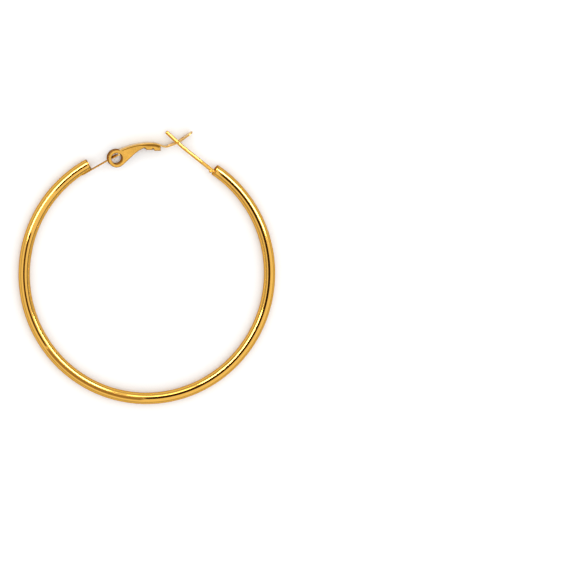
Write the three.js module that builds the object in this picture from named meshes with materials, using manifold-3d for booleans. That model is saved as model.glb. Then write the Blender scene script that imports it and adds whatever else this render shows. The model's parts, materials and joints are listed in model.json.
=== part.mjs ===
// Tube hoop earring with an ear post and a hinged clip lever, lying on its side. Millimetres, +Z up.
// The hoop's plane is XY, its opening faces +Y, and the tube rests on Z = 0.
// The origin is the middle of the underside of the whole earring's box.
import * as THREE from "three";
import { mergeVertices } from "three/addons/utils/BufferGeometryUtils.js";
import Module from "manifold-3d";

// Hoop tube: angles are in degrees round the hoop, from +X towards +Y
const HOOP_LONG = 55.6; // the hoop is very slightly oval, measured across the tube's centre line
const HOOP_SHORT = 54.5;
const LONG_AXIS_ANGLE = 114;
const TUBE_DIAMETER = 2.5;
const TUBE_WALL = 0.35;
const HINGE_END_ANGLE = 118.3;
const POST_END_ANGLE = 57.1;

// End plugs, pushed into the tube, each with a thin cap over the tube's end
const PLUG_LENGTH = 1.8;
const PLUG_CLEARANCE = 0.05;
const CAP_THICKNESS = 0.2;
const CAP_SEAM = 0.05;

// Ear post: a round wire that leaves the plug a little inside the tube's centre line
const POST_DIAMETER = 0.8;
const POST_OFFSET = 0.5;
const POST_LEAN = 4.5; // degrees outwards from the tube's own direction
const POST_TO_BEND = 9; // from the tube's end
const POST_BEND = 4.3; // degrees further outwards, just before the lever
const POST_BEND_TO_LEVER = 1.3;
const POST_PAST_LEVER = 3.65;
const POST_TIP_CHAMFER = 0.14;
const BEAD_RADIUS = 0.32; // solder bead under the post's foot
const BEAD_FROM_TUBE = 0.6;

// Hinge tongue: a straight strip with a T-shaped head, seated on a shallow flat along the tube's inner side
const TONGUE_THICKNESS = 0.25;
const TONGUE_WIDTH = 0.85;
const TONGUE_SINK = 0.05; // below the tube's inner side, at the tube's end
const TONGUE_LEAN = 1; // degrees outwards from the tube's own direction
const TONGUE_ROOT = 2.45; // length of the root along the tube
const TONGUE_REACH = 5.8; // from the tube's end to the hinge axis
const HEAD_LENGTH = 1.28;
const FLAT_SEAM = 0.04; // between the root and the flat
const SHOULDER_SIZE = 0.45;
const SHOULDER_FROM_AXIS = 1.7;

// Clip lever: a stamped channel, hinged on the tongue's head
const LEVER_WIDTH = 2.4;
const LEVER_SHEET = 0.3;
const ARCH_HEIGHT = 1.57; // above the straight line from the hinge axis to the post
const RING_BAND = 0.72; // of metal round each hinge hole
const HINGE_OFFSET = new THREE.Vector2(0.28, -0.45); // from the hinge axis to the middle of the hinge holes
const HINGE_CLEARANCE = 0.05;
const SLOT_WIDTH = 1.2;
const SLOT_PAST_POST = 1.7;
const POST_CLEARANCE = 0.2;
const LIP_CLEARANCE = 0.1; // between the lip and the two walls beside it
const TAB_LENGTH = 1.5;
const TAB_DROP = 0.4;

// Middle of the lever's sheet, as shares of the hinge-to-post distance and of the arch's height
const STRIP = [
  { along: 0.083, height: 0.71 }, // start, over the hinge
  { along: 0.194, height: 0.9 },
  { along: 0.339, height: 1.0 }, // crest of the arch
  { along: 0.448, height: 0.95 },
  { along: 0.555, height: 0.83 },
  { along: 0.658, height: 0.57 },
  { along: 0.726, height: 0.2 },
  { along: 0.79, height: -0.12 }, // dip
  { along: 0.86, height: -0.11 },
  { along: 1.0, height: 0.13 }, // where the post passes through
  { along: 1.115, height: 0.57 },
  { along: 1.25, height: 1.12 }, // thumb tip
];
// Lower edge of the lever's side walls, in the same shares
const WALL_EDGE = [
  { along: 0.708, height: -0.13 },
  { along: 0.469, height: 0.4 },
  { along: 0.38, height: 0.17 },
  { along: 0.296, height: -0.19 },
];
const WALL_END = 0.73; // where the walls run out under the strip
// Middles of the lower edges of the two tabs below each wall
const TABS = [
  { along: 0.536, height: -0.04 },
  { along: 0.659, height: -0.41 },
];

// Fineness of the round forms
const TUBE_SIDES = 16;
const TUBE_STEPS = 64;
const WIRE_SIDES = 12;
const HOLE_SIDES = 32;
const STRIP_STEPS = 40;

const GOLD = { color: 0xf0b860, metalness: 1, roughness: 0.16 };
const STAMPED_GOLD = { color: 0xe8b058, metalness: 1, roughness: 0.34 };

const wasm = await Module();
wasm.setup();

const radians = THREE.MathUtils.degToRad;
const hoopRadius = (HOOP_LONG + HOOP_SHORT) / 4;
const hoopSwell = (HOOP_LONG - HOOP_SHORT) / 4;
const tubeRadius = TUBE_DIAMETER / 2;
const plugRadius = tubeRadius - TUBE_WALL - PLUG_CLEARANCE;
const postRadius = POST_DIAMETER / 2;
const hingeEnd = radians(HINGE_END_ANGLE);
const postEnd = radians(POST_END_ANGLE);

// Unit vector in the hoop's plane
function heading(angle) {
  return new THREE.Vector2(Math.cos(angle), Math.sin(angle));
}

function solidOf(geometry, matrix = new THREE.Matrix4()) {
  const source = geometry.clone().applyMatrix4(matrix);
  source.deleteAttribute("normal");
  source.deleteAttribute("uv");
  const merged = mergeVertices(source, 1e-4);
  return new wasm.Manifold(
    new wasm.Mesh({
      numProp: 3,
      vertProperties: merged.attributes.position.array,
      triVerts: new Uint32Array(merged.index.array),
    }),
  );
}

function geometryOf(solid) {
  const mesh = solid.getMesh();
  const geometry = new THREE.BufferGeometry();
  geometry.setAttribute("position", new THREE.BufferAttribute(mesh.vertProperties, 3));
  geometry.setIndex(new THREE.BufferAttribute(mesh.triVerts, 1));
  geometry.computeVertexNormals();
  return geometry;
}

function join(solids) {
  return solids.reduce((joined, next) => joined.add(next));
}

// An outline in the hoop's plane, as a plate from one height to another
function plate(outline, low, high) {
  const geometry = new THREE.ExtrudeGeometry(new THREE.Shape(outline), {
    depth: high - low,
    bevelEnabled: false,
  });
  return solidOf(geometry, new THREE.Matrix4().makeTranslation(0, 0, low));
}

function block(length, depth, width, centre, angle) {
  const matrix = new THREE.Matrix4().makeRotationZ(angle);
  matrix.setPosition(centre.x, centre.y, 0);
  return solidOf(new THREE.BoxGeometry(length, depth, width), matrix);
}

// A round outline drawn with flat sides that touch the true circle, one of them facing straight down
function flatSided(radius, sides) {
  const turn = (2 * Math.PI) / sides;
  const corner = radius / Math.cos(turn / 2);
  return Array.from({ length: sides }, (_, i) => heading((i + 0.5) * turn).multiplyScalar(corner));
}

// Point on the tube's centre line
function hoopPoint(angle) {
  const swell = hoopSwell * Math.cos(2 * (angle - radians(LONG_AXIS_ANGLE)));
  return heading(angle).multiplyScalar(hoopRadius + swell);
}

class HoopArc extends THREE.Curve {
  constructor(from, to) {
    super();
    this.from = from;
    this.to = to;
  }

  getPoint(t, target = new THREE.Vector3()) {
    const point = hoopPoint(THREE.MathUtils.lerp(this.from, this.to, t));
    return target.set(point.x, point.y, 0);
  }
}

// A section swept round the hoop; its x runs across the hoop's plane and its y towards the hoop's middle
function roundHoop(section, from, to, steps) {
  const geometry = new THREE.ExtrudeGeometry(section, {
    steps,
    bevelEnabled: false,
    extrudePath: new HoopArc(from, to),
  });
  return solidOf(geometry);
}

// A round wire from one point to another, with its far end chamfered
function wire(from, to, radius, chamfer) {
  const line = to.clone().sub(from);
  const length = line.length();
  const profile = [
    new THREE.Vector2(0, 0),
    new THREE.Vector2(radius, 0),
    new THREE.Vector2(radius, length - chamfer),
    new THREE.Vector2(radius - chamfer, length),
    new THREE.Vector2(0, length),
  ];
  const matrix = new THREE.Matrix4().makeRotationZ(line.angle() - Math.PI / 2);
  matrix.setPosition(from.x, from.y, 0);
  return solidOf(new THREE.LatheGeometry(profile, WIRE_SIDES), matrix);
}

function ball(radius, centre) {
  const matrix = new THREE.Matrix4().makeTranslation(centre.x, centre.y, 0);
  return solidOf(new THREE.SphereGeometry(radius, WIRE_SIDES, WIRE_SIDES / 2), matrix);
}

// Direction of the hoop at an angle round it
function hoopDirection(angle) {
  const step = 1e-3;
  return hoopPoint(angle + step).sub(hoopPoint(angle - step)).angle();
}

// Places that the pieces share
const hingeForwards = heading(hoopDirection(hingeEnd) + Math.PI + radians(TONGUE_LEAN));
const hingeInwards = hingeForwards.clone().rotateAround(new THREE.Vector2(), -Math.PI / 2);
const tongueStart = hoopPoint(hingeEnd).addScaledVector(
  hingeInwards,
  tubeRadius - TONGUE_SINK + TONGUE_THICKNESS / 2,
);
const hingeAxis = tongueStart.clone().addScaledVector(hingeForwards, TONGUE_REACH);
const postAngle = hoopDirection(postEnd) - radians(POST_LEAN);
const postFoot = hoopPoint(postEnd).addScaledVector(heading(postEnd), -POST_OFFSET);
const postBend = postFoot.clone().addScaledVector(heading(postAngle), POST_TO_BEND);
const bentAngle = postAngle - radians(POST_BEND);
const postCrossing = postBend.clone().addScaledVector(heading(bentAngle), POST_BEND_TO_LEVER);
const postTip = postCrossing.clone().addScaledVector(heading(bentAngle), POST_PAST_LEVER);
const leverAngle = postCrossing.clone().sub(hingeAxis).angle();
const leverReach = postCrossing.distanceTo(hingeAxis);
const headSweep = Math.hypot(HEAD_LENGTH, TONGUE_THICKNESS) / 2;
const holeRadius = HINGE_OFFSET.length() + headSweep + HINGE_CLEARANCE;

function buildTube() {
  const section = new THREE.Shape(flatSided(tubeRadius, TUBE_SIDES));
  section.holes.push(new THREE.Path(flatSided(tubeRadius - TUBE_WALL, TUBE_SIDES)));
  const inset = (CAP_THICKNESS + CAP_SEAM) / hoopRadius;
  const tube = roundHoop(section, hingeEnd + inset, postEnd + 2 * Math.PI - inset, TUBE_STEPS);
  return tube.subtract(rootFlat());
}

// What is cut away for the shallow flat that the tongue's root lies on
function rootFlat() {
  const length = 2 * (TONGUE_ROOT + FLAT_SEAM);
  const floor = -TONGUE_THICKNESS / 2 - FLAT_SEAM;
  const centre = tongueStart.clone().addScaledVector(hingeInwards, floor + tubeRadius);
  return block(length, 2 * tubeRadius, 2 * TUBE_DIAMETER, centre, hingeForwards.angle());
}

// Plug and cap for one end of the tube; back is the way into the tube
function plug(end, back) {
  const cap = new THREE.Shape(flatSided(tubeRadius, TUBE_SIDES));
  const core = new THREE.Shape(flatSided(plugRadius, TUBE_SIDES));
  const capEnd = end + (back * CAP_THICKNESS) / hoopRadius;
  const coreStart = end + (back * CAP_THICKNESS) / 2 / hoopRadius;
  const coreEnd = end + (back * PLUG_LENGTH) / hoopRadius;
  return join([
    roundHoop(cap, Math.min(end, capEnd), Math.max(end, capEnd), 1),
    roundHoop(core, Math.min(coreStart, coreEnd), Math.max(coreStart, coreEnd), 2),
  ]);
}

function buildPost() {
  const root = postFoot.clone().addScaledVector(heading(postAngle), -PLUG_LENGTH / 2);
  const beadCentre = postFoot
    .clone()
    .addScaledVector(heading(postAngle), BEAD_FROM_TUBE)
    .addScaledVector(heading(postAngle + Math.PI / 2), postRadius);
  return join([
    plug(postEnd, -1),
    wire(root, postBend, postRadius, 0),
    ball(postRadius, postBend),
    wire(postBend, postTip, postRadius, POST_TIP_CHAMFER),
    ball(BEAD_RADIUS, beadCentre),
  ]);
}

function buildTongue() {
  const along = hingeForwards.angle();
  const onTongue = (forwards, inwards) =>
    tongueStart.clone().addScaledVector(hingeForwards, forwards).addScaledVector(hingeInwards, inwards);
  const bladeMiddle = onTongue((TONGUE_REACH - TONGUE_ROOT) / 2, 0);
  const shoulderPlace = onTongue(
    TONGUE_REACH - SHOULDER_FROM_AXIS,
    (SHOULDER_SIZE - TONGUE_THICKNESS) / 2,
  );
  return join([
    plug(hingeEnd, 1),
    block(TONGUE_ROOT + TONGUE_REACH, TONGUE_THICKNESS, TONGUE_WIDTH, bladeMiddle, along),
    block(SHOULDER_SIZE, SHOULDER_SIZE, TONGUE_WIDTH, shoulderPlace, along),
    block(HEAD_LENGTH, TONGUE_THICKNESS, LEVER_WIDTH, hingeAxis, along),
  ]);
}

// The lever is drawn round its hinge axis, with +X towards the post
function inLever({ along, height }) {
  return new THREE.Vector2(along * leverReach, height * ARCH_HEIGHT);
}

const stripMiddle = new THREE.SplineCurve(STRIP.map(inLever)).getSpacedPoints(STRIP_STEPS);

function buildStrip() {
  const half = LEVER_SHEET / 2;
  const upper = [];
  const lower = [];
  stripMiddle.forEach((point, i) => {
    const before = stripMiddle[Math.max(i - 1, 0)];
    const after = stripMiddle[Math.min(i + 1, stripMiddle.length - 1)];
    const across = heading(after.clone().sub(before).angle() + Math.PI / 2);
    upper.push(point.clone().addScaledVector(across, half));
    lower.unshift(point.clone().addScaledVector(across, -half));
  });
  return plate([...upper, ...lower], -LEVER_WIDTH / 2, LEVER_WIDTH / 2);
}

// The point where a straight edge from a corner touches the hinge ring, on its lower side
function ringTangent(corner, ringRadius) {
  const line = corner.clone().sub(HINGE_OFFSET);
  const turn = Math.acos(ringRadius / line.length());
  return heading(line.angle() - turn).multiplyScalar(ringRadius).add(HINGE_OFFSET);
}

function buildWall(low, high) {
  const ringRadius = holeRadius + RING_BAND;
  const ring = flatSided(ringRadius, HOLE_SIDES).map((corner) => corner.add(HINGE_OFFSET));
  const lowerEdge = WALL_EDGE.map(inLever);
  const upperEdge = stripMiddle.filter((point) => point.x < WALL_END * leverReach);
  const web = [
    HINGE_OFFSET,
    ringTangent(lowerEdge.at(-1), ringRadius),
    ...lowerEdge.toReversed(),
    ...upperEdge.toReversed(),
  ];
  const tabs = TABS.map((place) => {
    const middle = inLever(place).add(new THREE.Vector2(0, TAB_DROP));
    const tab = block(TAB_LENGTH, 2 * TAB_DROP, high - low, middle, -leverAngle);
    return tab.translate([0, 0, (low + high) / 2]);
  });
  return join([plate(ring, low, high), plate(web, low, high), ...tabs]);
}

function buildLip() {
  const half = LEVER_SHEET / 2;
  const foot = new THREE.Vector2(headSweep + HINGE_CLEARANCE + half, 0);
  const top = stripMiddle[0];
  const across = heading(top.clone().sub(foot).angle()).rotateAround(new THREE.Vector2(), Math.PI / 2);
  const outline = [
    foot.clone().addScaledVector(across, -half),
    top.clone().addScaledVector(across, -half),
    top.clone().addScaledVector(across, half),
    foot.clone().addScaledVector(across, half),
  ];
  const halfWidth = LEVER_WIDTH / 2 - LEVER_SHEET - LIP_CLEARANCE;
  return plate(outline, -halfWidth, halfWidth);
}

// A prism that stands on the lever's strip: its outline has x along the strip and y across it
function acrossStrip(outline, centre, angle, depth) {
  const geometry = new THREE.ExtrudeGeometry(outline, { depth, bevelEnabled: false, curveSegments: 8 });
  geometry.translate(0, 0, -depth / 2);
  const matrix = new THREE.Matrix4().makeRotationZ(angle);
  matrix.multiply(new THREE.Matrix4().makeRotationX(Math.PI / 2));
  matrix.setPosition(centre.x, centre.y, 0);
  return solidOf(geometry, matrix);
}

function buildSlot() {
  const tipReach = postTip.distanceTo(hingeAxis);
  const from = tipReach - postRadius - POST_CLEARANCE;
  const to = leverReach + SLOT_PAST_POST;
  const half = SLOT_WIDTH / 2;
  const slot = new THREE.Shape();
  slot.absarc(from - leverReach + half, 0, half, Math.PI / 2, (3 * Math.PI) / 2);
  slot.absarc(to - leverReach - half, 0, half, -Math.PI / 2, Math.PI / 2);
  const crossing = STRIP.findIndex(({ along }) => along === 1);
  const slope = inLever(STRIP[crossing + 1]).sub(inLever(STRIP[crossing - 1])).angle();
  return acrossStrip(slot, new THREE.Vector2(leverReach, 0), slope, ARCH_HEIGHT * 2);
}

// The lever seen from above: parallel sides and a full round tip
function buildPlan() {
  const half = LEVER_WIDTH / 2;
  const tip = stripMiddle.at(-1).x;
  const start = HINGE_OFFSET.x - holeRadius - 2 * RING_BAND;
  const plan = new THREE.Shape();
  plan.moveTo(start, half);
  plan.lineTo(start, -half);
  plan.absarc(tip - half, 0, half, -Math.PI / 2, Math.PI / 2);
  return acrossStrip(plan, new THREE.Vector2(0, 0), 0, 6 * (holeRadius + ARCH_HEIGHT));
}

function buildLever() {
  const outer = LEVER_WIDTH / 2;
  const inner = outer - LEVER_SHEET;
  const hole = flatSided(holeRadius, HOLE_SIDES).map((corner) => corner.add(HINGE_OFFSET));
  const blank = join([buildStrip(), buildWall(-outer, -inner), buildWall(inner, outer)]);
  const pierced = blank.subtract(plate(hole, -LEVER_WIDTH, LEVER_WIDTH)).subtract(buildSlot());
  return pierced.add(buildLip()).intersect(buildPlan());
}

function piece(name, solid, finish) {
  const mesh = new THREE.Mesh(geometryOf(solid), new THREE.MeshStandardMaterial(finish));
  mesh.name = name;
  return mesh;
}

const earring = new THREE.Group();
earring.add(piece("hoop_tube", buildTube(), GOLD));
earring.add(piece("ear_post", buildPost(), GOLD));
earring.add(piece("hinge_tongue", buildTongue(), GOLD));

const hinge = new THREE.Group();
hinge.position.set(hingeAxis.x, hingeAxis.y, 0);
hinge.rotation.z = leverAngle;
hinge.add(piece("clip_lever", buildLever(), STAMPED_GOLD));
earring.add(hinge);

const box = new THREE.Box3().setFromObject(earring);
const middle = box.getCenter(new THREE.Vector3());
earring.position.set(-middle.x, -middle.y, -box.min.z);

export default earring;
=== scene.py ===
"""Polished tube hoop earring with a stamped clip lever, lying on a pale studio floor. Metres, +Z up."""

import json
import math

import bmesh
import bpy
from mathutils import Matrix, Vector


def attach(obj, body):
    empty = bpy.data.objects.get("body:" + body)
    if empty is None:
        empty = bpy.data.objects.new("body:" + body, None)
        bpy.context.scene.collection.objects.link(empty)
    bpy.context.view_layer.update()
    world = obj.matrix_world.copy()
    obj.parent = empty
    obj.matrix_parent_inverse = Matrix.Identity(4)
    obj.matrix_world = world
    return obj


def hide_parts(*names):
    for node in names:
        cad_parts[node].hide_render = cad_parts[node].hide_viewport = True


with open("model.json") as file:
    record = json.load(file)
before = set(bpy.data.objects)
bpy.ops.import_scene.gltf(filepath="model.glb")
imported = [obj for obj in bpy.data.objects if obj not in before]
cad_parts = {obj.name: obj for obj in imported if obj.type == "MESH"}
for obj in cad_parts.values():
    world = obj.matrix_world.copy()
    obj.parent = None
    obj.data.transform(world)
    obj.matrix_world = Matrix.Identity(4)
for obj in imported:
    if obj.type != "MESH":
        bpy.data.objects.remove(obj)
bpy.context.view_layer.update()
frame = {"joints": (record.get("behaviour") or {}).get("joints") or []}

# The pieces are modelled in millimetres round the middle of the hoop, then set down in metres.
MM = 0.001

# Hoop tube
HOOP_LONG = 55.6
HOOP_SHORT = 54.5
LONG_AXIS_ANGLE = math.radians(114)
TUBE_RADIUS = 1.25
TUBE_WALL = 0.35
HINGE_END_ANGLE = math.radians(118.3)
POST_END_ANGLE = math.radians(57.1)

# End plugs with their caps
PLUG_RADIUS = 0.85
PLUG_LENGTH = 1.8
CAP_THICKNESS = 0.2
CAP_SEAM = 0.05

# Ear post
POST_RADIUS = 0.4
POST_OFFSET = 0.5
POST_LEAN = math.radians(4.5)
POST_TO_BEND = 9.0
POST_BEND = math.radians(4.3)
POST_BEND_RADIUS = 8.0
POST_BEND_TO_LEVER = 1.3
POST_PAST_LEVER = 3.65
POST_TIP_ROUND = 0.3
BEAD_RADIUS = 0.32
BEAD_FROM_TUBE = 0.6

# Hinge tongue
TONGUE_THICKNESS = 0.25
TONGUE_WIDTH = 0.85
TONGUE_SINK = 0.05
TONGUE_LEAN = math.radians(1)
TONGUE_ROOT = 2.45
TONGUE_REACH = 5.8
HEAD_LENGTH = 1.28
FLAT_SEAM = 0.04
SHOULDER_SIZE = 0.45
SHOULDER_FROM_AXIS = 1.7

# Clip lever
LEVER_WIDTH = 2.4
LEVER_SHEET = 0.3
ARCH_HEIGHT = 1.57
RING_BAND = 0.72
HINGE_OFFSET = Vector((0.28, -0.45, 0))
HINGE_CLEARANCE = 0.05
SLOT_WIDTH = 1.2
SLOT_PAST_POST = 1.7
POST_CLEARANCE = 0.2
LIP_CLEARANCE = 0.1
TAB_LENGTH = 1.5
TAB_DROP = 0.4
STRIP = (
    (0.083, 0.71), (0.194, 0.9), (0.339, 1.0), (0.448, 0.95), (0.555, 0.83), (0.658, 0.57),
    (0.726, 0.2), (0.79, -0.12), (0.86, -0.11), (1.0, 0.13), (1.115, 0.57), (1.25, 1.12),
)
WALL_EDGE = ((0.708, -0.13), (0.469, 0.4), (0.38, 0.17), (0.296, -0.19))
WALL_END = 0.73
TABS = ((0.536, -0.04), (0.659, -0.41))


def heading(angle):
    return Vector((math.cos(angle), math.sin(angle), 0))


def angle_of(vector):
    return math.atan2(vector.y, vector.x)


hoop_radius = (HOOP_LONG + HOOP_SHORT) / 4
hoop_swell = (HOOP_LONG - HOOP_SHORT) / 4


def hoop_point(angle):
    swell = hoop_swell * math.cos(2 * (angle - LONG_AXIS_ANGLE))
    return heading(angle) * (hoop_radius + swell)


def hoop_direction(angle):
    step = 1e-3
    return angle_of(hoop_point(angle + step) - hoop_point(angle - step))


# Places that the pieces share
tongue_angle = hoop_direction(HINGE_END_ANGLE) + math.pi + TONGUE_LEAN
forwards = heading(tongue_angle)
inwards = heading(tongue_angle - math.pi / 2)
tongue_start = hoop_point(HINGE_END_ANGLE) + inwards * (TUBE_RADIUS - TONGUE_SINK + TONGUE_THICKNESS / 2)
hinge_axis = tongue_start + forwards * TONGUE_REACH
post_angle = hoop_direction(POST_END_ANGLE) - POST_LEAN
post_foot = hoop_point(POST_END_ANGLE) - heading(POST_END_ANGLE) * POST_OFFSET
post_bend = post_foot + heading(post_angle) * POST_TO_BEND
post_crossing = post_bend + heading(post_angle - POST_BEND) * POST_BEND_TO_LEVER
post_tip = post_crossing + heading(post_angle - POST_BEND) * POST_PAST_LEVER
lever_angle = angle_of(post_crossing - hinge_axis)
lever_reach = (post_crossing - hinge_axis).length
head_sweep = math.hypot(HEAD_LENGTH, TONGUE_THICKNESS) / 2
hole_radius = HINGE_OFFSET.length + head_sweep + HINGE_CLEARANCE
ring_radius = hole_radius + RING_BAND

hinge_in_frame = Vector(frame["joints"][0]["pos_m"])
hoop_middle = hinge_in_frame - hinge_axis * MM


# Ways of working, as at a bench: start from a primitive, open it, choose faces, shape them, finish it
MERGE_DISTANCE = 0.0005
SMOOTH_UNDER = math.radians(28)
FACING = 0.9
FACING_AT_ALL = 0.01
EDGE_SLOT = 1


def settle():
    """Puts the place, turn and size of the chosen object into its mesh."""
    bpy.ops.object.transform_apply(location=True, rotation=True, scale=True)
    return bpy.context.object


def name_piece(name):
    piece = settle()
    piece.name = name
    piece.data.name = name
    return piece


def choose(piece):
    bpy.ops.object.select_all(action="DESELECT")
    piece.select_set(True)
    bpy.context.view_layer.objects.active = piece


def open_mesh(piece):
    choose(piece)
    bpy.ops.object.mode_set(mode="EDIT")
    bpy.ops.mesh.select_mode(type="FACE")
    bpy.ops.mesh.select_all(action="SELECT")


def close_mesh():
    bpy.ops.object.mode_set(mode="OBJECT")


def select_faces(piece, test):
    """Selects only the faces whose middle and normal pass the test."""
    mesh = bmesh.from_edit_mesh(piece.data)
    for face in mesh.faces:
        face.select_set(bool(test(face.calc_center_median(), face.normal)))
    mesh.select_flush(True)
    bmesh.update_edit_mesh(piece.data)


def pull(step):
    """Draws what is selected out by a step."""
    bpy.ops.mesh.extrude_region_move(TRANSFORM_OT_translate={"value": step})


def turn(angle, centre):
    """Turns what is selected anticlockwise, seen from above."""
    bpy.ops.transform.rotate(value=-angle, orient_axis="Z", center_override=centre)


def recalculate(piece):
    """Merges doubled corners and turns every face outwards."""
    open_mesh(piece)
    bpy.ops.mesh.remove_doubles(threshold=MERGE_DISTANCE)
    bpy.ops.mesh.normals_make_consistent(inside=False)
    close_mesh()


def modify(piece, kind, **settings):
    choose(piece)
    modifier = piece.modifiers.new(kind.title(), kind)
    for key, value in settings.items():
        setattr(modifier, key, value)
    bpy.ops.object.modifier_apply(modifier=modifier.name)


def join_solids(piece, other, operation="UNION"):
    modify(piece, "BOOLEAN", operation=operation, object=other, solver="EXACT", material_mode="TRANSFER")
    bpy.data.objects.remove(other)


def soften_edges(piece, width, above, segments=2):
    """Rounds the edges that are sharper than an angle, in the piece's second finish."""
    modify(
        piece, "BEVEL",
        width=width, segments=segments, limit_method="ANGLE", angle_limit=math.radians(above),
        use_clamp_overlap=True, miter_outer="MITER_ARC", material=EDGE_SLOT,
    )


def draw_along(name, stations, across, depth, round_section=0):
    """Draws a section through the stations (point, angle, share of across, share of depth)."""
    point, angle, wide, deep = stations[0]
    place = {"location": point, "rotation": (0, math.pi / 2, angle)}
    if round_section:
        bpy.ops.mesh.primitive_circle_add(
            vertices=round_section, radius=across / 2, fill_type="NGON", **place
        )
    else:
        bpy.ops.mesh.primitive_plane_add(size=1, **place)
        bpy.context.object.scale = (depth * deep, across * wide, 1)
    piece = name_piece(name)
    open_mesh(piece)
    if round_section:
        bpy.ops.transform.resize(value=(wide, wide, deep), center_override=point)
    for new_point, new_angle, new_wide, new_deep in stations[1:]:
        pull(new_point - point)
        turn(new_angle - angle, new_point)
        bpy.ops.transform.resize(
            value=(new_wide / wide, new_wide / wide, new_deep / deep), center_override=new_point
        )
        point, angle, wide, deep = new_point, new_angle, new_wide, new_deep
    close_mesh()
    recalculate(piece)
    return piece


def cut_plate(name, outline, low, high):
    """A flat plate cut to an outline: a disc whose corners are moved onto the drawing."""
    bpy.ops.mesh.primitive_circle_add(vertices=len(outline), radius=1, fill_type="NGON", location=(0, 0, low))
    piece = name_piece(name)
    open_mesh(piece)
    bpy.ops.mesh.select_mode(type="VERT")
    for index, corner in enumerate(outline):
        mesh = bmesh.from_edit_mesh(piece.data)
        mesh.verts.ensure_lookup_table()
        for vertex in mesh.verts:
            vertex.select_set(vertex.index == index)
        mesh.select_flush(True)
        step = Vector((corner.x, corner.y, low)) - mesh.verts[index].co
        bpy.ops.transform.translate(value=step)
    bpy.ops.mesh.select_mode(type="FACE")
    bpy.ops.mesh.select_all(action="SELECT")
    pull((0, 0, high - low))
    close_mesh()
    recalculate(piece)
    return piece


def round_bar(name, radius, length, centre, rotation, sides):
    bpy.ops.mesh.primitive_cylinder_add(
        vertices=sides, radius=radius, depth=length, location=centre, rotation=rotation
    )
    return name_piece(name)


def give_finish(piece, *finishes):
    piece.data.materials.clear()
    for finish in finishes:
        piece.data.materials.append(finish)


def set_down(piece, body, node):
    """Puts a finished piece in its place in the frame, in metres."""
    choose(piece)
    piece.scale = (MM, MM, MM)
    piece.location = hoop_middle
    settle()
    bpy.ops.object.shade_smooth_by_angle(angle=SMOOTH_UNDER)
    modify(piece, "WEIGHTED_NORMAL", keep_sharp=True)
    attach(piece, body)
    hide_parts(node)


# Hoop
TUBE_SIDES = 72
HOOP_STEPS = 288
TUBE_EDGE = 0.05
TUBE_EDGE_ABOVE = 50
END_REACH = 3 * TUBE_RADIUS
PLUG_SIDES = 96


def before_stretch(angle):
    """Angle round a true circle that lands on this angle once the hoop is drawn oval."""
    share = hoop_swell / hoop_radius
    off_axis = angle - LONG_AXIS_ANGLE
    return LONG_AXIS_ANGLE + math.atan2(math.sin(off_axis) / (1 - share), math.cos(off_axis) / (1 + share))


def trim_end(piece, angle, backwards):
    """Cuts the tube off square to its own direction."""
    end = hoop_point(angle)
    along = heading(hoop_direction(angle)) * backwards
    plane = end + along * (CAP_THICKNESS + CAP_SEAM)
    open_mesh(piece)
    select_faces(piece, lambda middle, normal: (middle - end).length < END_REACH)
    bpy.ops.mesh.bisect(plane_co=plane, plane_no=along, clear_inner=True)
    close_mesh()


def make_hoop():
    start = before_stretch(HINGE_END_ANGLE)
    sweep = (before_stretch(POST_END_ANGLE) - start) % (2 * math.pi)
    bpy.ops.mesh.primitive_circle_add(
        vertices=TUBE_SIDES,
        radius=TUBE_RADIUS,
        location=heading(start) * hoop_radius,
        rotation=(math.pi / 2, 0, start),
    )
    hoop = name_piece("hoop")
    open_mesh(hoop)
    bpy.ops.mesh.spin(steps=HOOP_STEPS, angle=-sweep, center=(0, 0, 0), axis=(0, 0, 1))
    close_mesh()
    share = hoop_swell / hoop_radius
    for rotation, scale in ((-LONG_AXIS_ANGLE, (1 + share, 1 - share, 1)), (LONG_AXIS_ANGLE, (1, 1, 1))):
        hoop.rotation_euler.z = rotation
        settle()
        hoop.scale = scale
        settle()
    trim_end(hoop, HINGE_END_ANGLE, 1)
    trim_end(hoop, POST_END_ANGLE, -1)
    recalculate(hoop)
    modify(hoop, "SOLIDIFY", thickness=TUBE_WALL, offset=-1)
    bpy.ops.mesh.primitive_cube_add(
        size=1,
        location=tongue_start + inwards * (TUBE_RADIUS - TONGUE_THICKNESS / 2 - FLAT_SEAM),
        rotation=(0, 0, tongue_angle),
    )
    bpy.context.object.scale = (2 * (TONGUE_ROOT + FLAT_SEAM), 2 * TUBE_RADIUS, 4 * TUBE_RADIUS)
    join_solids(hoop, name_piece("root_flat"), "DIFFERENCE")
    # The tube's rounded edges take the second finish: painted shade.
    give_finish(hoop, polished_gold, painted_shade)
    soften_edges(hoop, TUBE_EDGE, TUBE_EDGE_ABOVE)
    recalculate(hoop)
    return hoop


def make_plug(name, angle, backwards):
    """The cap over a tube's end, with the plug drawn out of its back face."""
    end = hoop_point(angle)
    direction = hoop_direction(angle)
    back = heading(direction) * backwards
    cap_middle = end + back * (CAP_THICKNESS / 2)
    plug = round_bar(
        name, TUBE_RADIUS, CAP_THICKNESS, cap_middle, (0, math.pi / 2, direction), PLUG_SIDES
    )
    open_mesh(plug)
    select_faces(plug, lambda middle, normal: normal.dot(back) > FACING)
    bpy.ops.mesh.inset(thickness=TUBE_RADIUS - PLUG_RADIUS)
    pull(back * (PLUG_LENGTH - CAP_THICKNESS))
    turn(backwards * PLUG_LENGTH / hoop_radius, end + back * CAP_THICKNESS)
    close_mesh()
    return plug


# Ear post
WIRE_SIDES = 48
BEND_STEPS = 10
TIP_STEPS = 6
TIP_FLAT = 0.5
BEAD_SEGMENTS = 32
WIRE_EDGE = 0.05
WIRE_EDGE_ABOVE = 40


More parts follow.
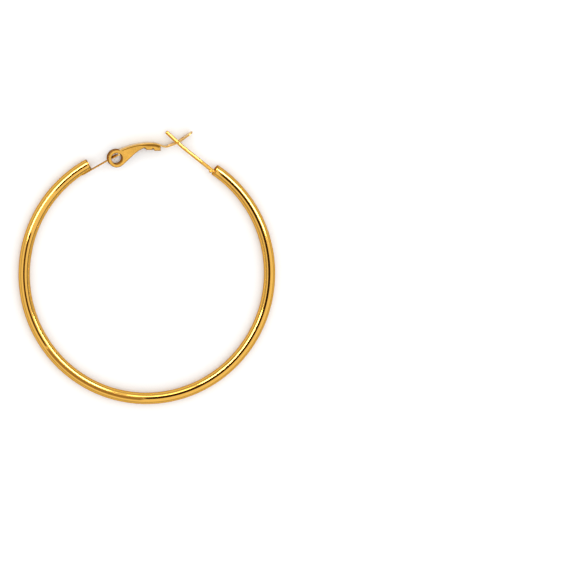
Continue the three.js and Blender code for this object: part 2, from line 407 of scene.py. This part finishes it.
def make_post():
    bend_run = POST_BEND_RADIUS * math.tan(POST_BEND / 2)
    foot = post_foot - heading(post_angle) * CAP_THICKNESS / 2
    stations = [(foot, post_angle, 1, 1)]
    bend_start = post_bend - heading(post_angle) * bend_run
    bend_centre = bend_start + heading(post_angle - math.pi / 2) * POST_BEND_RADIUS
    for step in range(BEND_STEPS + 1):
        angle = post_angle - POST_BEND * step / BEND_STEPS
        stations.append((bend_centre + heading(angle + math.pi / 2) * POST_BEND_RADIUS, angle, 1, 1))
    end_angle = post_angle - POST_BEND
    for step in range(TIP_STEPS + 1):
        rise = step / TIP_STEPS
        share = TIP_FLAT + (1 - TIP_FLAT) * math.sqrt(1 - rise * rise)
        point = post_tip - heading(end_angle) * POST_TIP_ROUND * (1 - rise)
        stations.append((point, end_angle, share, share))
    post = draw_along("ear_post_wire", stations, 2 * POST_RADIUS, 0, round_section=WIRE_SIDES)
    bead_place = post_foot + heading(post_angle) * BEAD_FROM_TUBE
    bead_place += heading(post_angle + math.pi / 2) * POST_RADIUS
    bpy.ops.mesh.primitive_uv_sphere_add(
        segments=BEAD_SEGMENTS, ring_count=BEAD_SEGMENTS // 2, radius=BEAD_RADIUS, location=bead_place
    )
    join_solids(post, name_piece("bead"))
    join_solids(post, make_plug("post_plug", POST_END_ANGLE, -1))
    # The post's rounded edges take painted shade.
    give_finish(post, polished_gold, painted_shade)
    soften_edges(post, WIRE_EDGE, WIRE_EDGE_ABOVE)
    return post


# Hinge tongue
def make_tongue():
    head_start = TONGUE_REACH - HEAD_LENGTH / 2
    shoulder_middle = TONGUE_REACH - SHOULDER_FROM_AXIS
    shoulder_start = shoulder_middle - SHOULDER_SIZE / 2
    runs = (
        -TONGUE_ROOT, shoulder_start, shoulder_start + SHOULDER_SIZE, head_start, head_start + HEAD_LENGTH
    )
    stations = [(tongue_start + forwards * run, tongue_angle, 1, 1) for run in runs]
    tongue = draw_along("hinge_tongue_strip", stations, TONGUE_THICKNESS, TONGUE_WIDTH)

    def run_of(point):
        return (point - tongue_start).dot(forwards)

    def is_shoulder(middle, normal):
        off_middle = abs(run_of(middle) - shoulder_middle)
        return normal.dot(inwards) > FACING and off_middle < SHOULDER_SIZE / 4

    open_mesh(tongue)
    for side in (-1, 1):
        select_faces(
            tongue, lambda middle, normal: normal.z * side > FACING and run_of(middle) > head_start
        )
        pull((0, 0, side * (LEVER_WIDTH - TONGUE_WIDTH) / 2))
    select_faces(tongue, is_shoulder)
    pull(inwards * (SHOULDER_SIZE - TONGUE_THICKNESS))
    close_mesh()
    join_solids(tongue, make_plug("tongue_plug", HINGE_END_ANGLE, 1))
    # The tongue's rounded edges take painted shade.
    give_finish(tongue, tongue_gold, painted_shade)
    soften_edges(tongue, WIRE_EDGE, WIRE_EDGE_ABOVE)
    return tongue


# Clip lever, drawn round its hinge axis with +X towards the post
CURVE_STEPS = 24
STRIP_SPACING = 0.15
WALL_SPACING = 0.25
RING_STEPS = 60
HOLE_SIDES = 96
SLOT_SIDES = 48
TIP_NARROWEST = 0.12
STRIP_EDGE = 0.13
CHEEK_EDGE = 0.13
SHEET_EDGE_ABOVE = 60
SHEET_EDGE_SEGMENTS = 3
CHEEK_INSET = 0.01
# The crease cut under the strip, lined with painted shade; it widens into a band of painted shade where the
# cheek runs out.
SHADE_CREASE_START = 0.12
SHADE_CREASE_END = 0.72
SHADE_CREASE_WIDENS = (0.4, 0.54)
SHADE_CREASE_TOP = 0.1
SHADE_CREASE_WIDTH = 0.16
SHADE_CREASE_WIDEST = 0.5
SHADE_CREASE_DEPTH = 0.08


def in_lever(place):
    """A place given as shares of the lever's reach and of its arch's height."""
    return Vector((place[0] * lever_reach, place[1] * ARCH_HEIGHT, 0))


def smooth_line(points, spacing):
    """Points at even spacing along a smooth curve through the given ones."""
    last = len(points) - 1
    fine = []
    for i in range(last):
        p0, p1, p2, p3 = points[max(i - 1, 0)], points[i], points[i + 1], points[min(i + 2, last)]
        for step in range(CURVE_STEPS):
            t = step / CURVE_STEPS
            a, b = (p2 - p0) / 2, (p3 - p1) / 2
            fine.append(
                (2 * p1 - 2 * p2 + a + b) * t**3 + (-3 * p1 + 3 * p2 - 2 * a - b) * t**2 + a * t + p1
            )
    fine.append(points[last])
    lengths = [0.0]
    for before, after in zip(fine, fine[1:]):
        lengths.append(lengths[-1] + (after - before).length)
    count = round(lengths[-1] / spacing)
    even, at = [], 0
    for i in range(count + 1):
        goal = lengths[-1] * i / count
        while at < len(fine) - 2 and lengths[at + 1] < goal:
            at += 1
        share = (goal - lengths[at]) / (lengths[at + 1] - lengths[at])
        even.append(fine[at].lerp(fine[at + 1], share))
    return even


strip_line = smooth_line([in_lever(place) for place in STRIP], STRIP_SPACING)


def strip_angle(i):
    return angle_of(strip_line[min(i + 1, len(strip_line) - 1)] - strip_line[max(i - 1, 0)])


def make_strip():
    """The arched strip, which narrows to a rounded thumb tip."""
    half = LEVER_WIDTH / 2
    tip = strip_line[-1].x
    stations = []
    for i, point in enumerate(strip_line):
        past = max(point.x - (tip - half), 0) / half
        width = max(math.sqrt(max(1 - past * past, 0)), TIP_NARROWEST)
        stations.append((point, strip_angle(i), 1, width))
    strip = draw_along("lever_strip", stations, LEVER_SHEET, LEVER_WIDTH)
    # The strip's top is a lighter copy of the stamped gold: a painted highlight. Its rounded edges keep the
    # stamped gold.
    give_finish(strip, painted_highlight_gold, stamped_gold)
    soften_edges(strip, STRIP_EDGE, SHEET_EDGE_ABOVE, SHEET_EDGE_SEGMENTS)
    return strip


def cheek_outline():
    """Along the strip, round the hinge ring and back along the lower edge with its two tabs."""
    lower = [in_lever(place) for place in WALL_EDGE]
    line = lower[-1] - HINGE_OFFSET
    touch = angle_of(line) - math.acos(ring_radius / line.length)
    upper = [point for point in strip_line if point.x < WALL_END * lever_reach]
    outside = [point for point in upper if (point - HINGE_OFFSET).length > ring_radius]
    meet = angle_of(outside[0] - HINGE_OFFSET)
    span = touch + 2 * math.pi - meet
    outline = list(reversed(outside))
    for step in range(1, RING_STEPS + 1):
        outline.append(HINGE_OFFSET + heading(meet + span * step / RING_STEPS) * ring_radius)
    outline += smooth_line(list(reversed(lower[1:])), WALL_SPACING)
    ahead = heading(-lever_angle) * TAB_LENGTH / 2
    up = Vector((0, TAB_DROP, 0))
    for place in TABS:
        foot = in_lever(place)
        outline += [foot - ahead + up, foot - ahead, foot + ahead, foot + ahead + up]
    return outline


def make_lever():
    lever = make_strip()
    outer = LEVER_WIDTH / 2 - CHEEK_INSET
    inner = outer - LEVER_SHEET
    outline = cheek_outline()
    for low, high in ((-outer, -inner), (inner, outer)):
        cheek = cut_plate("cheek", outline, low, high)
        hole = round_bar("hole", hole_radius, 2 * LEVER_WIDTH, HINGE_OFFSET, (0, 0, 0), HOLE_SIDES)
        join_solids(cheek, hole, "DIFFERENCE")
        # The cheek's rounded edges and the rim of its hole take painted shade.
        give_finish(cheek, stamped_gold, painted_shade)
        soften_edges(cheek, CHEEK_EDGE, SHEET_EDGE_ABOVE, SHEET_EDGE_SEGMENTS)
        join_solids(lever, cheek)
    # The crease cuts leave painted shade on the cheeks under the strip.
    for tool in (make_slot_cutter(), make_shade_crease(-1), make_shade_crease(1)):
        join_solids(lever, tool, "DIFFERENCE")
    join_solids(lever, make_lip())
    recalculate(lever)
    choose(lever)
    lever.rotation_euler.z = lever_angle
    lever.location = hinge_axis
    settle()
    return lever


def make_shade_crease(side):
    """The fold's crease below the strip, lined with painted shade, which widens into a band of painted shade
    where the cheek runs out.
    """
    upper, lower = [], []
    widens_from, widest_at = SHADE_CREASE_WIDENS
    for i, point in enumerate(strip_line):
        along = point.x / lever_reach
        if SHADE_CREASE_START < along < SHADE_CREASE_END:
            down = heading(strip_angle(i) - math.pi / 2)
            share = min(max((along - widens_from) / (widest_at - widens_from), 0), 1)
            width = SHADE_CREASE_WIDTH + (SHADE_CREASE_WIDEST - SHADE_CREASE_WIDTH) * share
            upper.append(point + down * SHADE_CREASE_TOP)
            lower.append(point + down * (SHADE_CREASE_TOP + width))
    outer = LEVER_WIDTH / 2
    low, high = sorted((side * (outer - SHADE_CREASE_DEPTH), side * (outer + SHADE_CREASE_DEPTH)))
    shade_crease = cut_plate("shade_crease", upper + list(reversed(lower)), low, high)
    # The crease's cut faces carry painted shade onto the cheek.
    give_finish(shade_crease, painted_shade)
    return shade_crease


def make_lip():
    """The sheet's short bent end, which stands just past the tongue's head."""
    foot = Vector((head_sweep + HINGE_CLEARANCE + LEVER_SHEET / 2, 0, 0))
    top = strip_line[0]
    angle = angle_of(top - foot)
    stations = [(foot, angle, 1, 1), (top, angle, 1, 1)]
    return draw_along("lip", stations, LEVER_SHEET, LEVER_WIDTH - 2 * (LEVER_SHEET + LIP_CLEARANCE))


def make_slot_cutter():
    """A round bar through the thumb, half of which is moved along it to cut a slot for the post."""
    start = (post_tip - hinge_axis).length - POST_RADIUS - POST_CLEARANCE
    end = lever_reach + SLOT_PAST_POST
    crossing = next(i for i, place in enumerate(STRIP) if place[0] == 1.0)
    slope = angle_of(in_lever(STRIP[crossing + 1]) - in_lever(STRIP[crossing - 1]))
    post_place = Vector((lever_reach, 0, 0))
    along = heading(slope)
    near = post_place + along * (start - lever_reach + SLOT_WIDTH / 2)
    far = post_place + along * (end - lever_reach - SLOT_WIDTH / 2)
    turned = (math.pi / 2, math.pi / SLOT_SIDES, slope)
    cutter = round_bar("slot", SLOT_WIDTH / 2, 4 * ARCH_HEIGHT, near, turned, SLOT_SIDES)
    open_mesh(cutter)
    select_faces(cutter, lambda middle, normal: normal.dot(along) > FACING_AT_ALL)
    bpy.ops.transform.translate(value=far - near)
    close_mesh()
    return cutter


# Finishes
GRAIN_DETAIL = 3
GRAIN_ROUGHNESS = 0.6
CLOUD_SCALE = 350
CLOUD_DETAIL = 4
SCRATCH_TURN = (0.3, 0.2, 0.7)
SCRATCH_SCALE = (500, 9000, 9000)
SCRATCH_DETAIL = 2
SCRATCH_RANGE = (0.62, 0.72)


def add_node(tree, kind, place, **settings):
    node = tree.nodes.new(kind)
    node.location = place
    for key, value in settings.items():
        setattr(node, key, value)
    return node


def make_surface_group():
    """Fine grain and handling marks of plated metal: a colour share, a roughness and a height."""
    group = bpy.data.node_groups.new("plated_surface", "ShaderNodeTree")
    sockets = (
        ("Grain Size", 0.0002), ("Grain Depth", 0.5), ("Scratch Depth", 0.5), ("Tone Change", 0.05),
        ("Roughness", 0.2), ("Roughness Change", 0.05),
    )
    for name, value in sockets:
        socket = group.interface.new_socket(name, in_out="INPUT", socket_type="NodeSocketFloat")
        socket.default_value = value
    for name, kind in (("Tone", "Float"), ("Roughness", "Float"), ("Height", "Float")):
        group.interface.new_socket(name, in_out="OUTPUT", socket_type="NodeSocket" + kind)
    inputs = add_node(group, "NodeGroupInput", (-1000, 0))
    outputs = add_node(group, "NodeGroupOutput", (800, 0))
    coordinates = add_node(group, "ShaderNodeTexCoord", (-1000, 300))
    link = group.links.new

    per_grain = add_node(group, "ShaderNodeMath", (-800, 100), operation="DIVIDE")
    per_grain.inputs[0].default_value = 1
    link(inputs.outputs["Grain Size"], per_grain.inputs[1])
    grain = add_node(group, "ShaderNodeTexNoise", (-600, 200))
    grain.inputs["Detail"].default_value = GRAIN_DETAIL
    grain.inputs["Roughness"].default_value = GRAIN_ROUGHNESS
    link(coordinates.outputs["Object"], grain.inputs["Vector"])
    link(per_grain.outputs[0], grain.inputs["Scale"])

    clouds = add_node(group, "ShaderNodeTexNoise", (-600, -100))
    clouds.inputs["Scale"].default_value = CLOUD_SCALE
    clouds.inputs["Detail"].default_value = CLOUD_DETAIL
    link(coordinates.outputs["Object"], clouds.inputs["Vector"])

    stretch = add_node(group, "ShaderNodeMapping", (-800, -400))
    stretch.inputs["Rotation"].default_value = SCRATCH_TURN
    stretch.inputs["Scale"].default_value = SCRATCH_SCALE
    link(coordinates.outputs["Object"], stretch.inputs["Vector"])
    scratches = add_node(group, "ShaderNodeTexNoise", (-600, -400))
    scratches.inputs["Scale"].default_value = 1
    scratches.inputs["Detail"].default_value = SCRATCH_DETAIL
    link(stretch.outputs["Vector"], scratches.inputs["Vector"])
    lines = add_node(group, "ShaderNodeMapRange", (-400, -400))
    lines.inputs["From Min"].default_value = SCRATCH_RANGE[0]
    lines.inputs["From Max"].default_value = SCRATCH_RANGE[1]
    link(scratches.outputs["Fac"], lines.inputs["Value"])

    def weighted(value, weight, place):
        node = add_node(group, "ShaderNodeMath", place, operation="MULTIPLY")
        link(value, node.inputs[0])
        link(weight, node.inputs[1])
        return node.outputs[0]

    def centred(value, place):
        node = add_node(group, "ShaderNodeMath", place, operation="SUBTRACT")
        link(value, node.inputs[0])
        node.inputs[1].default_value = 0.5
        return node.outputs[0]

    def plus(first, second, place):
        node = add_node(group, "ShaderNodeMath", place, operation="ADD")
        link(first, node.inputs[0])
        link(second, node.inputs[1])
        return node.outputs[0]

    grain_height = weighted(grain.outputs["Fac"], inputs.outputs["Grain Depth"], (-200, 200))
    scratch_height = weighted(lines.outputs["Result"], inputs.outputs["Scratch Depth"], (-200, -300))
    height = add_node(group, "ShaderNodeMath", (0, 0), operation="SUBTRACT")
    link(grain_height, height.inputs[0])
    link(scratch_height, height.inputs[1])
    link(height.outputs[0], outputs.inputs["Height"])

    unevenness = plus(
        centred(clouds.outputs["Fac"], (-400, -100)), centred(grain.outputs["Fac"], (-400, 100)), (-200, 0)
    )
    tone_change = weighted(unevenness, inputs.outputs["Tone Change"], (0, 300))
    tone = add_node(group, "ShaderNodeMath", (200, 300), operation="ADD")
    tone.inputs[1].default_value = 1
    link(tone_change, tone.inputs[0])
    link(tone.outputs[0], outputs.inputs["Tone"])
    rough_change = weighted(unevenness, inputs.outputs["Roughness Change"], (0, -200))
    rough = plus(inputs.outputs["Roughness"], rough_change, (200, -200))
    link(rough, outputs.inputs["Roughness"])
    return group


surface_group = make_surface_group()


def make_finish(name, colour, rim, bump, **values):
    """A plated finish; rim is its colour seen from the side, and bump the height of its grain in metres."""
    finish = bpy.data.materials.new(name)
    finish.use_nodes = True
    tree = finish.node_tree
    shader = tree.nodes["Principled BSDF"]
    shader.inputs["Metallic"].default_value = 1
    shader.inputs["Specular Tint"].default_value = (*rim, 1)
    surface = add_node(tree, "ShaderNodeGroup", (-700, 0), node_tree=surface_group)
    for key, value in values.items():
        surface.inputs[key.replace("_", " ")].default_value = value
    tint = add_node(tree, "ShaderNodeMix", (-400, 200), data_type="RGBA", blend_type="MULTIPLY")
    tint.inputs["Factor"].default_value = 1
    tint.inputs["A"].default_value = (*colour, 1)
    tree.links.new(surface.outputs["Tone"], tint.inputs["B"])
    tree.links.new(tint.outputs["Result"], shader.inputs["Base Color"])
    tree.links.new(surface.outputs["Roughness"], shader.inputs["Roughness"])
    relief = add_node(tree, "ShaderNodeBump", (-400, -200))
    relief.inputs["Strength"].default_value = 1
    relief.inputs["Distance"].default_value = bump
    tree.links.new(surface.outputs["Height"], relief.inputs["Height"])
    tree.links.new(relief.outputs["Normal"], shader.inputs["Normal"])
    return finish


polished_gold = make_finish(
    "polished_gold", colour=(0.72, 0.4, 0.078), rim=(0.5, 0.27, 0.08), bump=0.000001,
    Grain_Size=0.0004, Grain_Depth=0.5, Scratch_Depth=0.3, Tone_Change=0.1,
    Roughness=0.075, Roughness_Change=0.04,
)
tongue_gold = make_finish(
    "tongue_gold", colour=(0.6, 0.31, 0.06), rim=(0.5, 0.27, 0.08), bump=0.000002,
    Grain_Size=0.0003, Grain_Depth=0.8, Scratch_Depth=0.3, Tone_Change=0.15,
    Roughness=0.25, Roughness_Change=0.1,
)
# A lighter copy of the stamped gold for the lever's strip: a painted highlight.
painted_highlight_gold = make_finish(
    "painted_highlight_gold", colour=(0.8, 0.52, 0.17), rim=(1, 1, 1), bump=0.000003,
    Grain_Size=0.0003, Grain_Depth=0.6, Scratch_Depth=0.3, Tone_Change=0.15,
    Roughness=0.16, Roughness_Change=0.08,
)
stamped_gold = make_finish(
    "stamped_gold", colour=(0.62, 0.335, 0.062), rim=(1, 1, 1), bump=0.000008,
    Grain_Size=0.00016, Grain_Depth=1.0, Scratch_Depth=0.2, Tone_Change=0.7,
    Roughness=0.24, Roughness_Change=0.15,
)
# Dark brown for the pieces' rounded edges and the crease under the strip: painted shade.
painted_shade = make_finish(
    "painted_shade", colour=(0.2, 0.09, 0.012), rim=(0.4, 0.2, 0.05), bump=0.000004,
    Grain_Size=0.0002, Grain_Depth=0.8, Scratch_Depth=0.2, Tone_Change=0.3,
    Roughness=0.35, Roughness_Change=0.2,
)

set_down(make_hoop(), "frame", "hoop_tube")
set_down(make_post(), "frame", "ear_post")
set_down(make_tongue(), "frame", "hinge_tongue")
set_down(make_lever(), "lever", "clip_lever")


# Studio: the floor, a white tent, three soft boxes, and dark cards cut to the hoop's curve, which draw the
# dark lines along its crest. Soft boxes and cards are seen only in reflections.
VIEW_BACK = Vector((-0.145, 0.13, 0.981)).normalized()
CAMERA_DISTANCE = 2.4
FLOOR_SIZE = 3.0
FLOOR_COLOUR = (0.96, 0.96, 0.96)
TENT_OVERHEAD = 1.25
TENT_HORIZON = 0.5
HORIZON_LOW = 0.0
HORIZON_HIGH = 0.55
FLOOR_ROUGHNESS = 0.9
LIGHT_DISTANCE = 0.5
CARD_HEIGHT = 30
CARD_THICKNESS = 0.5
CARD_STEPS = 24

# Name, azimuth, tilt, length, width, radiance
SOFT_BOXES = (
    ("soft_box_right", 30, 43, 0.3, 0.12, 20),
    ("soft_box_left", 140, 42, 0.38, 0.09, 20),
    ("soft_box_middle", 85, 42, 0.24, 0.1, 5),
)

# Name, colour, first and last angle round the hoop, inner and outer share of the tube's width
CARDS = (
    ("black_card", (0.05, 0.025, 0.01), 56, -92, -0.2, 0.16),
    ("brown_card", (0.45, 0.35, 0.25), -93, -145, -0.1, 0.33),
    ("dark_brown_card", (0.12, 0.07, 0.03), -146, -200, -0.1, 0.2),
    ("end_card", (0.1, 0.05, 0.02), 138, 117, -0.1, 0.18),
)


def make_floor():
    bpy.ops.mesh.primitive_plane_add(size=FLOOR_SIZE)
    floor = name_piece("floor")
    material = bpy.data.materials.new("floor_paper")
    material.use_nodes = True
    shader = material.node_tree.nodes["Principled BSDF"]
    shader.inputs["Base Color"].default_value = (*FLOOR_COLOUR, 1)
    shader.inputs["Roughness"].default_value = FLOOR_ROUGHNESS
    shader.inputs["Specular IOR Level"].default_value = 0
    floor.data.materials.append(material)


def make_tent():
    """A broad white tent: bright overhead, dimmer towards the floor."""
    world = bpy.data.worlds.new("studio")
    world.use_nodes = True
    tree = world.node_tree
    sky = add_node(tree, "ShaderNodeTexCoord", (-800, 0))
    split = add_node(tree, "ShaderNodeSeparateXYZ", (-600, 0))
    fade = add_node(tree, "ShaderNodeMapRange", (-400, 0), interpolation_type="SMOOTHSTEP")
    fade.inputs["From Min"].default_value = HORIZON_LOW
    fade.inputs["From Max"].default_value = HORIZON_HIGH
    fade.inputs["To Min"].default_value = TENT_HORIZON
    fade.inputs["To Max"].default_value = TENT_OVERHEAD
    tree.links.new(sky.outputs["Generated"], split.inputs[0])
    tree.links.new(split.outputs["Z"], fade.inputs["Value"])
    tree.links.new(fade.outputs["Result"], tree.nodes["Background"].inputs["Strength"])
    tree.nodes["Background"].inputs["Color"].default_value = (1, 1, 1, 1)
    bpy.context.scene.world = world


def add_soft_box(name, azimuth, tilt, length, width, radiance):
    """A soft box that leans tilt degrees from the vertical, towards an azimuth round the hoop.

    It is dark to light that a matt surface has scattered, so the metal throws no bright spots on the floor.
    """
    lean = math.radians(tilt)
    towards = heading(math.radians(azimuth)) * math.sin(lean) + Vector((0, 0, math.cos(lean)))
    light = bpy.data.lights.new(name, "AREA")
    light.shape = "RECTANGLE"
    light.size = length
    light.size_y = width
    light.energy = radiance * length * width * math.pi
    light.use_nodes = True
    tree = light.node_tree
    path = add_node(tree, "ShaderNodeLightPath", (-600, 0))
    seen = add_node(tree, "ShaderNodeMath", (-300, 0), operation="LESS_THAN")
    seen.inputs[1].default_value = 1
    tree.links.new(path.outputs["Diffuse Depth"], seen.inputs[0])
    tree.links.new(seen.outputs[0], tree.nodes["Emission"].inputs["Strength"])
    box = bpy.data.objects.new(name, light)
    bpy.context.scene.collection.objects.link(box)
    box.location = hoop_middle + towards * LIGHT_DISTANCE
    box.rotation_euler = towards.to_track_quat("Z", "Y").to_euler()
    box.visible_diffuse = False
    box.visible_camera = False


def seen_in(angle, share):
    """The place at the cards' height that the camera sees mirrored at a share of the tube's width."""
    place = hoop_point(angle)
    outwards = heading(angle)
    along = Vector((-outwards.y, outwards.x, 0))
    to_camera = (VIEW_BACK * CAMERA_DISTANCE / MM - place).normalized()
    facing = (to_camera - along * to_camera.dot(along)).normalized()
    sideways = (outwards - facing * outwards.dot(facing)).normalized()
    normal = facing * math.cos(math.asin(share)) + sideways * share
    mirrored = 2 * to_camera.dot(normal) * normal - to_camera
    return place + mirrored * (CARD_HEIGHT / mirrored.z)


def add_card(name, colour, first, last, inner, outer):
    """A card over part of the hoop, mirrored in the tube between two shares of its width."""
    stations = []
    for step in range(CARD_STEPS + 1):
        angle = math.radians(first + (last - first) * step / CARD_STEPS)
        near, far = seen_in(angle, inner), seen_in(angle, outer)
        across = far - near
        stations.append(((near + far) / 2, angle_of(across) - math.pi / 2, across.length, 1))
    card = draw_along(name, stations, 1, CARD_THICKNESS)
    material = bpy.data.materials.new(name)
    material.use_nodes = True
    shader = material.node_tree.nodes["Principled BSDF"]
    shader.inputs["Base Color"].default_value = (*colour, 1)
    shader.inputs["Specular IOR Level"].default_value = 0
    card.data.materials.append(material)
    choose(card)
    card.scale = (MM, MM, MM)
    card.location = hoop_middle
    settle()
    card.visible_camera = False
    card.visible_diffuse = False
    card.visible_shadow = False


make_floor()
make_tent()
for soft_box in SOFT_BOXES:
    add_soft_box(*soft_box)
for card in CARDS:
    add_card(*card)

# Camera: the photograph's angle and framing
FRAME_PIXELS = 573
MM_PER_PIXEL = 0.2205
HOOP_MIDDLE_PIXEL = (147.05, 273.95)
SENSOR = 36.0
CLIP_NEAR = 0.1
CLIP_FAR = 10


def make_camera():
    tilt = Vector((0, 0, 1)).rotation_difference(VIEW_BACK)
    right = tilt @ Vector((1, 0, 0))
    up = tilt @ Vector((0, 1, 0))
    data = bpy.data.cameras.new("camera")
    data.sensor_width = SENSOR
    data.lens = SENSOR * CAMERA_DISTANCE / (FRAME_PIXELS * MM_PER_PIXEL * MM)
    data.clip_start = CLIP_NEAR
    data.clip_end = CLIP_FAR
    camera = bpy.data.objects.new("camera", data)
    bpy.context.scene.collection.objects.link(camera)
    place = hoop_middle + VIEW_BACK * CAMERA_DISTANCE
    across = (FRAME_PIXELS / 2 - HOOP_MIDDLE_PIXEL[0]) * MM_PER_PIXEL * MM
    above = (FRAME_PIXELS / 2 - HOOP_MIDDLE_PIXEL[1]) * MM_PER_PIXEL * MM
    aim = hoop_middle + right * across - up * above
    axis = (place - aim).normalized()
    camera.location = place
    camera.rotation_mode = "QUATERNION"
    camera.rotation_quaternion = VIEW_BACK.rotation_difference(axis) @ tilt
    bpy.context.scene.camera = camera


make_camera()
bpy.context.scene.view_settings.view_transform = "Standard"
